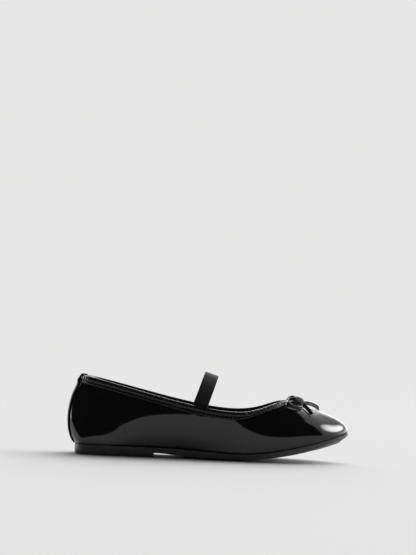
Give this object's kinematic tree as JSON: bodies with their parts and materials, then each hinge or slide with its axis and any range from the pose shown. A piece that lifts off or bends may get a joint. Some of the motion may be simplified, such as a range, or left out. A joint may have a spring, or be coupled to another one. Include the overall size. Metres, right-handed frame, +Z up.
{
  "type": "ballet flat",
  "caption": "Low-heeled round-toed women's slip-on flat with an open collar, gathered topline, elastic instep strap and a small bow on the vamp.",
  "frame": {"origin": "on the ground under the middle of the shoe's box, in plan", "axes": "+X towards the toe, +Y towards the inner side of the foot, +Z up"},
  "size_m": [0.2546, 0.0806, 0.0779],
  "materials": {
    "sole_rubber": "matte moulded",
    "lining": "smooth matte",
    "patent": "high-gloss patent",
    "elastic": "woven elastic"
  },
  "bodies": {
    "root": {"outsole": "sole_rubber", "insole": "lining", "upper": "patent", "topline_binding": "patent", "back_strip": "patent", "elastic_strap": "elastic", "bow": "patent"}
  },
  "joints": []
}
